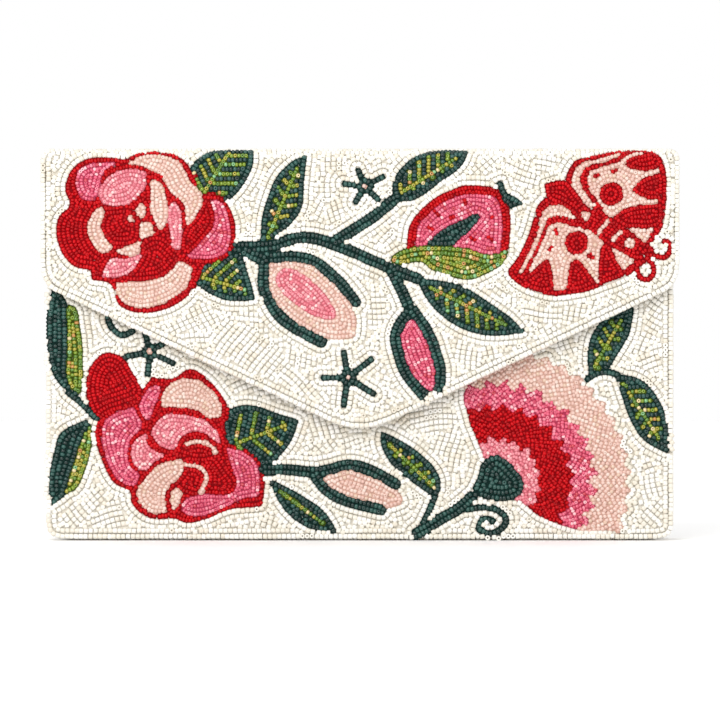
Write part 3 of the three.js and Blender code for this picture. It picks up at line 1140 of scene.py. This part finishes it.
def bead_pieces(name, beads, place, move, sink=BEAD_SINK):
    """One panel's beads: a piece for each colour, or several where there are too many for one."""
    made = []
    for number, colour in enumerate(COLOURS):
        own = beads[beads[:, 3] == number]
        parts = math.ceil(len(own) / BEADS_PER_PIECE)
        pieces = []
        for part in range(parts):
            ending = f"_{part + 1}" if parts > 1 else ""
            pieces.append(bead_piece(f"{name}_{colour}{ending}", own[part::parts], colour, place, sink))
        # Under each colour's beads goes a piece of darker patches: painted shade for the gaps between them
        if parts and colour in GAP_SHADE_MATERIALS:
            pieces.append(gap_shade_piece(f"{name}_{colour}_gap_shade", own, colour, place))
        for piece in pieces:
            move(piece)
        made += pieces
    return made


def riding(body):
    return lambda piece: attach(piece, body)


def bending():
    return lambda piece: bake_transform(piece)


over_front_fold = bending(
)
over_back_fold = bending(
)


def row_along(path):
    """One row of ivory beads along a path."""
    length = BEADS["ivory"][1]
    distance = distances(path)
    spots = (np.arange(int(distance[-1] / length)) + 0.5) * length
    place, ahead = (places_along(path, distance, spots + shift) for shift in (0, CELL))
    angle = np.arctan2(*(ahead - place).T[::-1])
    return np.column_stack([place, angle, np.zeros(len(place))])


def straight_rows(low, high):
    """Rows of ivory beads along x that fill a rectangle."""
    count = math.ceil((high[1] - low[1]) / ROW)
    rows = []
    for row in range(count):
        across = low[1] + (row + 0.5) * (high[1] - low[1]) / count
        start = low[0] + dice.uniform(0, ROW_START_SPREAD)
        rows.append(row_along(np.array([(start, across), (high[0], across)])))
    return np.vstack(rows)


def sew_panel(side, fold, beads, place, body, over_fold):
    """Sews a panel's beads: those on its stiff part, and those that bend over its fold."""
    is_flat = beads[:, 1] < FLAT_TOP
    panel = bead_pieces(f"{side}_beadwork", beads[is_flat], place, riding(body))
    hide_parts(f"{side}_beads")
    bead_pieces(f"{fold}_beadwork", beads[~is_flat], place, over_fold)


def sew_rim(side, outline, top, place, body):
    """Sews a row of beads round a panel's edge, up to a height."""
    rim = row_along(outline)
    bead_pieces(f"{side}_rim_beads", rim[rim[:, 1] < top - ROW], place, riding(body), RIM_SINK)


def sew_flap():
    sew_panel("flap", "front_fold", draw_flap().sew(), flap_place, "flap", over_front_fold)
    sew_rim("flap", flap_outline(RIM_INSET, FOLD_HEIGHT), FOLD_HEIGHT, flap_place, "flap")


def sew_front():
    panel = bead_pieces("front_beadwork", draw_front().sew(), front_place, riding("front"))
    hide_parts("front_beads")
    outline = panel_outline(RIM_INSET, FRONT_LOW[2] + RIM_INSET, FRONT_HIGH[2], CORNER_RADIUS)
    sew_rim("front", outline, FRONT_HIGH[2], front_place, "front")


def sew_back():
    beads = Sheet(panel_outline(0, 0, FOLD_TOP, CORNER_RADIUS)).sew()
    sew_panel("back", "back_fold", beads, back_place, "body", over_back_fold)
    sew_rim("back", panel_outline(RIM_INSET, RIM_INSET, FOLD_HEIGHT), FOLD_HEIGHT, back_place, "body")


def sew_top_and_base():
    corner = np.array([SPINE_HIGH[0] - ROW / 2, FOLD_DEPTH - ROW / 2])
    top = bead_pieces("top_beadwork", straight_rows(-corner, corner), top_place, riding("spine"))
    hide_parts("spine_beads")
    rows = straight_rows(BASE_LOW[:2] + (CORNER_RADIUS, 0), BASE_HIGH[:2] - (CORNER_RADIUS, 0))
    base = bead_pieces("base_beadwork", rows, base_place, riding("body"))
    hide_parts("base_beads")


# ---------------------------------------------------------------- materials


def linear(hexadecimal):
    """A colour of six hexadecimal digits as linear red, green, blue and alpha."""
    channels = [int(hexadecimal[i : i + 2], 16) / 255 for i in (0, 2, 4)]
    return [c / 12.92 if c <= 0.04045 else ((c + 0.055) / 1.055) ** 2.4 for c in channels] + [1]


def surface(name, colour, roughness, inputs=None):
    """A material with one even colour, and other inputs of its shader by name."""
    material = bpy.data.materials.new(name)
    material.use_nodes = True
    shader = material.node_tree.nodes["Principled BSDF"]
    shader.inputs["Base Color"].default_value = linear(colour)
    shader.inputs["Roughness"].default_value = roughness
    for socket, value in (inputs or {}).items():
        shader.inputs[socket].default_value = value
    return material


# Each colour of beads: the share of each tint, roughness and other inputs of the shader. Most tints are the
# beads' own uneven tone, but in fuchsia, pink and green some tints are painted light, as noted at each
BEAD_LOOKS = {
    "ivory": ({"E9E5DB": 5, "E3DDCF": 3, "EEEBE4": 4, "DFD7C7": 1}, 0.3, {"Coat Weight": 0.3}),
    "red": ({"B4030D": 5, "A0020A": 3, "C40913": 3}, 0.26, {"Specular IOR Level": 0.18}),
    # Fuchsia: the near-white tint F2B8BE is a painted glint and the deep C23A4A is partly painted shade;
    # the other tints are the beads' own tones
    "fuchsia": (
        {"DA5A76": 5, "CC4864": 3, "E48093": 3, "F2B8BE": 1, "C23A4A": 1}, 0.2, {"Coat Weight": 0.5}
    ),
    # Pink: the near-white tint F0C6C4 is a painted glint; the other tints are the beads' own tones
    "pink": ({"E08590": 4, "D86F7D": 3, "E79DA3": 3, "F0C6C4": 1}, 0.2, {"Coat Weight": 0.5}),
    "pale_pink": ({"DFBEB1": 5, "D8B2A5": 3, "E5CDC1": 3, "D8BAA5": 1}, 0.28, {"Coat Weight": 0.4}),
    # Green: the light teal 2B524B and the near-black 122C28 are partly painted highlight and shade,
    # widening the beads' own spread of tones
    "green": ({"1A3B36": 5, "122C28": 3, "2B524B": 3}, 0.16, {"Specular IOR Level": 0.5}),
    "lime": (
        {"78901C": 5, "A29A30": 4, "557A1E": 4, "B98442": 1, "7DB27A": 1, "DCC894": 1}, 0.2,
        {"Coat Weight": 0.6, "Metallic": 0.2},
    ),
}
BEAD_MATERIALS = {
    colour: [surface(f"{colour}_bead_{tint}", tint, roughness, inputs) for tint in shares]
    for colour, (shares, roughness, inputs) in BEAD_LOOKS.items()
}

# Painted shade in the gaps: under each colour's beads lie flat patches in a deeper tone of that colour,
# standing for the shade between the beads
GAP_SHADE_COLOURS = {
    "red": "7C020A", "fuchsia": "A23650", "pink": "BC646E", "pale_pink": "C8A090", "green": "0F2824",
    "lime": "3C4A12",
}
# Matt materials for the painted gap shade
GAP_SHADE_MATERIALS = {
    colour: surface(f"{colour}_gap_shade", shade, roughness=0.8, inputs={"Specular IOR Level": 0.1})
    for colour, shade in GAP_SHADE_COLOURS.items()
}


class Pattern:
    """Builds a material's pattern from texture nodes in the object's own space."""

    def __init__(self, material):
        self.tree = material.node_tree
        self.shader = self.tree.nodes["Principled BSDF"]
        self.space = self.tree.nodes.new("ShaderNodeTexCoord").outputs["Object"]

    def add(self, kind, inputs, **settings):
        node = self.tree.nodes.new("ShaderNode" + kind)
        for name, value in settings.items():
            setattr(node, name, value)
        for name, value in inputs.items():
            if isinstance(value, bpy.types.NodeSocket):
                self.tree.links.new(value, node.inputs[name])
            else:
                node.inputs[name].default_value = value
        return node.outputs

    def noise(self, scale, detail=3, space=None):
        inputs = {"Vector": space or self.space, "Scale": scale, "Detail": detail}
        return self.add("TexNoise", inputs)["Fac"]

    def colour(self, share, first, second):
        mix = self.add("MixRGB", {"Fac": share, "Color1": linear(first), "Color2": linear(second)})
        self.tree.links.new(mix["Color"], self.shader.inputs["Base Color"])

    def relief(self, height, depth, strength):
        bump = self.add("Bump", {"Height": height, "Distance": depth * MM, "Strength": strength})
        self.tree.links.new(bump["Normal"], self.shader.inputs["Normal"])


# A wave texture of scale 1 repeats at this distance
WAVE_CYCLE = math.tau / 20


def woven(name, dark, light, thread):
    """Plain woven cloth: two crossing sets of threads, with slow changes of shade."""
    material = surface(name, light, roughness=0.9, inputs={"Sheen Weight": 0.3})
    pattern = Pattern(material)
    waves = {"Vector": pattern.space, "Scale": WAVE_CYCLE / (thread * MM), "Distortion": 0.6}
    bands = [pattern.add("TexWave", waves, bands_direction=direction)["Fac"] for direction in ("X", "Z")]
    weave = pattern.add("Math", {0: bands[0], 1: bands[1]}, operation="MULTIPLY")["Value"]
    clouds = pattern.noise(scale=25)
    shade = pattern.add("Math", {0: weave, 1: 0.5, 2: clouds}, operation="MULTIPLY_ADD")["Value"]
    pattern.colour(shade, dark, light)
    pattern.relief(weave, depth=0.2, strength=0.6)
    return material


def satin(name, dark, light):
    """Lining satin: streaks along its threads, a low sheen and faint creases."""
    material = surface(name, light, roughness=0.4, inputs={"Sheen Weight": 0.4})
    pattern = Pattern(material)
    stretched = pattern.add("Mapping", {"Vector": pattern.space, "Scale": (20, 20, 600)})["Vector"]
    pattern.colour(pattern.noise(scale=2, space=stretched), dark, light)
    pattern.relief(pattern.noise(scale=35, detail=1), depth=1.5, strength=0.4)
    return material


def fibre_board(name, dark, light):
    """Matt board with fine flecks."""
    material = surface(name, light, roughness=0.85)
    pattern = Pattern(material)
    flecks = pattern.noise(scale=900)
    pattern.colour(flecks, dark, light)
    pattern.relief(flecks, depth=0.2, strength=0.4)
    return material


def plated(name, dark, light, roughness):
    """Plated metal with a faint cloudy tarnish."""
    material = surface(name, light, roughness, {"Metallic": 1})
    pattern = Pattern(material)
    pattern.colour(pattern.noise(scale=120), dark, light)
    return material


COVER = woven("cover_weave", "EAE2D2", "F6F1E6", thread=0.45)
SATIN = satin("lining_satin", "DACEB8", "EDE4D3")
BOARD = fibre_board("stiff_board", "9E8F78", "C6B79D")
GOLD = plated("light_gold", "C29A58", "DDBE80", roughness=0.22)
NICKEL = plated("satin_nickel", "55555A", "77777D", roughness=0.4)


# ---------------------------------------------------------------- cloth and lining

# A layer's points: their spacing over its middle, along its edge and over a fold, the strip beside the
# edge that they keep clear of, and the distance at which two of them are one
CLOTH_SPACING = 5
EDGE_SPACING = 1.5
FOLD_SPACING = 0.8
EDGE_GAP = 0.6
SAME_POINT = 1e-4
INSIDE_ONLY = 1


def finer(outline, step):
    """The outline with extra points, so that none are further apart than a step."""
    points = []
    for start, end in zip(outline, np.roll(outline, -1, axis=0)):
        count = max(math.ceil(np.linalg.norm(end - start) / step), 1)
        points += [start + (end - start) * k / count for k in range(count)]
    return np.array(points)


def inner_points(outline, spacing):
    """A grid of points inside an outline and clear of it, closer together where it goes over a fold."""
    low, high = outline.min(axis=0), outline.max(axis=0)
    rows = np.arange(low[1] + spacing, min(high[1], FOLD_HEIGHT) - EDGE_GAP, spacing)
    rows = np.append(rows, np.arange(FOLD_HEIGHT, high[1] - EDGE_GAP, FOLD_SPACING))
    x, z = np.meshgrid(np.arange(low[0] + spacing, high[0] - EDGE_GAP, spacing), rows)
    kept = np.ones(x.shape, bool)
    for dx, dz in ((EDGE_GAP, 0), (-EDGE_GAP, 0), (0, EDGE_GAP), (0, -EDGE_GAP)):
        kept &= contains(outline, x + dx, z + dz)
    return np.column_stack([x[kept], z[kept]])


def layer(name, outline, place, sinks, material, spacing):
    """A thin closed layer over an outline, between two depths under the outer face."""
    ring = finer(outline, min(spacing, EDGE_SPACING))
    corners = [Vector(point) for point in np.vstack([ring, inner_points(outline, spacing)])]
    border = [list(range(len(ring)))]
    flat, _, triangles, *_ = delaunay_2d_cdt(corners, [], border, INSIDE_ONLY, SAME_POINT)
    flat = np.array(flat)
    used = {(a, b) for face in triangles for a, b in zip(face, face[1:] + face[:1])}
    rim = [(a, b) for a, b in used if (b, a) not in used]
    near = len(flat)
    points = np.vstack([place(*flat.T, sink) for sink in sinks])
    faces = triangles + [[k + near for k in reversed(face)] for face in triangles]
    faces += [[b, a, a + near, b + near] for a, b in sorted(rim)]
    return closed_piece(name, points, faces, material)


def closed_piece(name, points, faces, material):
    """A closed piece of one material, whose faces all look outwards."""
    mesh = plain_mesh(name, points, faces, material)
    work = bmesh.new()
    work.from_mesh(mesh)
    bmesh.ops.recalc_face_normals(work, faces=work.faces)
    work.to_mesh(mesh)
    work.free()
    return placed(name, mesh)


class Panel:
    """Where a panel's layers lie: its curved surface, the axes it is drawn in and its outer face."""

    def __init__(self, place, move, face, across=0, up=2, through=1):
        self.place = place
        self.move = move
        self.face = face
        self.drawn = [across, up]
        self.through = through

    def rectangle(self, node):
        """A CAD node's outline on this panel."""
        low, high = (corner[self.drawn] for corner in box_mm(node))
        return np.array([low, (high[0], low[1]), high, (low[0], high[1])])

    def sinks(self, node):
        """How far under the outer face a CAD node starts and ends."""
        return sorted(abs(corner[self.through] - self.face) for corner in box_mm(node))


FLAP = Panel(flap_place, riding("flap"), FLAP_LOW[1])
FRONT = Panel(front_place, riding("front"), FRONT_LOW[1])
BACK = Panel(back_place, riding("body"), BACK_HIGH[1])
TOP = Panel(top_place, riding("spine"), HEIGHT, up=1, through=2)
BASE = Panel(base_place, riding("body"), 0, up=1, through=2)


def cloth_layer(node, panel, material, outline, move, spacing=CLOTH_SPACING):
    """A cloth layer that stands for a CAD node."""
    near, far = panel.sinks(node)
    if material is COVER:
        near -= CLOTH_RISE
    piece = layer(f"{node}_cloth", outline, panel.place, (near, far), material, spacing)
    move(piece)
    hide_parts(node)
    return piece


def cloth(node, panel, material, outline=None, move=None):
    """A cloth layer stretched over a board or another layer."""
    if outline is None:
        outline = panel.rectangle(node)
    piece = cloth_layer(node, panel, material, outline, move or panel.move)


def covers():
    """The cloth that the beads are sewn to, with one piece over each fold."""
    cloth("flap_cover", FLAP, COVER, flap_outline(CLOTH_INSET, FOLD_TOP), over_front_fold)
    back = panel_outline(CLOTH_INSET, CLOTH_INSET, FOLD_TOP)
    cloth("back_cover", BACK, COVER, back, over_back_fold)
    cloth("front_cover", FRONT, COVER)
    cloth("spine_cover", TOP, COVER)
    cloth("base_cover", BASE, COVER)


def linings():
    flap = flap_outline(FLAP_HALF - box_mm("flap_lining")[1][0], FOLD_HEIGHT)
    cloth("flap_lining", FLAP, SATIN, flap)
    cloth("front_lining", FRONT, SATIN)
    cloth("back_lining", BACK, SATIN)
    hem = cloth_layer("slip_pocket_hem", BACK, SATIN, BACK.rectangle("slip_pocket_hem"), BACK.move)
    cloth("slip_pocket", BACK, SATIN)
    cloth("spine_lining", TOP, SATIN)
    cloth("base_lining", BASE, SATIN)


# A gusset folds inwards this far at its top, with a faint ripple down its sides
GUSSET_FOLD = 16
GUSSET_RIPPLE = 0.7
RIPPLE_LENGTH = 33
GUSSET_SPACING = 1.2


def gusset_place(side, low, high):
    """Points under a side wall's outer face, which folds inwards more and more towards the top."""
    middle = (low[1] + high[1]) / 2
    half = (high[1] - low[1]) / 2
    face = max(abs(low[0]), abs(high[0]))

    def place(y, z, sink):
        across = np.abs(y - middle) / half
        fold = GUSSET_FOLD * (1 - across)
        ripple = GUSSET_RIPPLE * np.sin(math.tau * z / RIPPLE_LENGTH + y) * across * (1 - across)
        return np.column_stack([side * (face - sink - (fold + ripple) * z / high[2]), y, z])

    return place


def gussets():
    """The side walls: a folded cloth with its lining, from the back panel to the front panel."""
    for side, name in ((-1, "left_gusset"), (1, "right_gusset")):
        low, high = box_mm(name)
        face = high[0] if side > 0 else low[0]
        move = bending()
        panel = Panel(gusset_place(side, low, high), move, face, across=1, up=2, through=0)
        for node, material in ((name, COVER), (f"{name}_lining", SATIN)):
            piece = cloth_layer(node, panel, material, panel.rectangle(node), move, GUSSET_SPACING)


BINDING_STEPS = 10


def front_binding():
    """The satin strip folded over the front panel's top edge."""
    low, high = box_mm("front_top_binding")
    depth = (high[1] - low[1]) / 2
    angle = np.linspace(0, math.pi, BINDING_STEPS + 1)
    section = np.column_stack([-np.cos(angle) * depth, np.sin(angle) * (high[2] - low[2])])
    section += ((low[1] + high[1]) / 2, low[2])
    points = np.array([(x, y, z) for x in (low[0], high[0]) for y, z in section])
    count = len(section)
    ring = list(range(count))
    faces = [ring, [k + count for k in reversed(ring)]]
    faces += [[k, (k + 1) % count, (k + 1) % count + count, k + count] for k in ring]
    piece = closed_piece("front_top_binding_satin", points, faces, SATIN)
    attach(piece, "front")
    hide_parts("front_top_binding")


def hard_parts():
    """Materials for the CAD parts that stay, by a word in their names. The last word that fits counts."""
    for word, material in (("board", BOARD), ("snap", GOLD), ("magnet", NICKEL)):
        for name, part in frame["nodes"].items():
            if word in name:
                part.data.materials.clear()
                part.data.materials.append(material)


# ---------------------------------------------------------------- the studio

# The camera's distance from the flap, how far it sees, and the width and the middle height of its view
CAMERA_DISTANCE = 2000
CAMERA_REACH = 100000
FRAME_WIDTH = 304.2
FRAME_MIDDLE = 76.5
SENSOR = 36

# The lamp's place and size, its power in watts, and half the width of the floor
KEY_PLACE = (-500, -1500, 1000)
KEY_SIZE = 900
KEY_POWER = 15
FLOOR_HALF = 4000


def white_room():
    """Even white light from all round."""
    world = bpy.data.worlds.new("soft_white_room")
    world.use_nodes = True
    background = world.node_tree.nodes["Background"]
    background.inputs["Color"].default_value = (1, 1, 1, 1)
    background.inputs["Strength"].default_value = 1
    bpy.context.scene.world = world
    bpy.context.scene.view_settings.view_transform = "Standard"


def key_light():
    """A large lamp at the upper left, in front of the purse."""
    light = bpy.data.lights.new("key", "AREA")
    light.size = KEY_SIZE * MM
    light.energy = KEY_POWER
    lamp = placed("key", light)
    place = Vector(KEY_PLACE)
    lamp.location = place * MM
    lamp.rotation_euler = (Vector((0, 0, HEIGHT / 2)) - place).to_track_quat("-Z", "Y").to_euler()


def floor():
    corners = np.array([(-1, -1, 0), (1, -1, 0), (1, 1, 0), (-1, 1, 0)]) * FLOOR_HALF
    white = surface("floor_white", "FFFFFF", roughness=0.6)
    placed("floor", plain_mesh("floor", corners, [(0, 1, 2, 3)], white))


def camera():
    """A distant camera, level and straight in front of the purse."""
    made = bpy.data.cameras.new("camera")
    made.sensor_width = SENSOR
    made.lens = SENSOR * CAMERA_DISTANCE / FRAME_WIDTH
    made.clip_end = CAMERA_REACH * MM
    holder = placed("camera", made)
    holder.location = Vector((0, FLAP_LOW[1] - CAMERA_DISTANCE, FRAME_MIDDLE)) * MM
    holder.rotation_euler = (math.pi / 2, 0, 0)
    bpy.context.scene.camera = holder


# ---------------------------------------------------------------- the purse

sew_flap()
sew_front()
sew_back()
sew_top_and_base()
covers()
linings()
gussets()
front_binding()
hard_parts()
white_room()
key_light()
floor()
camera()
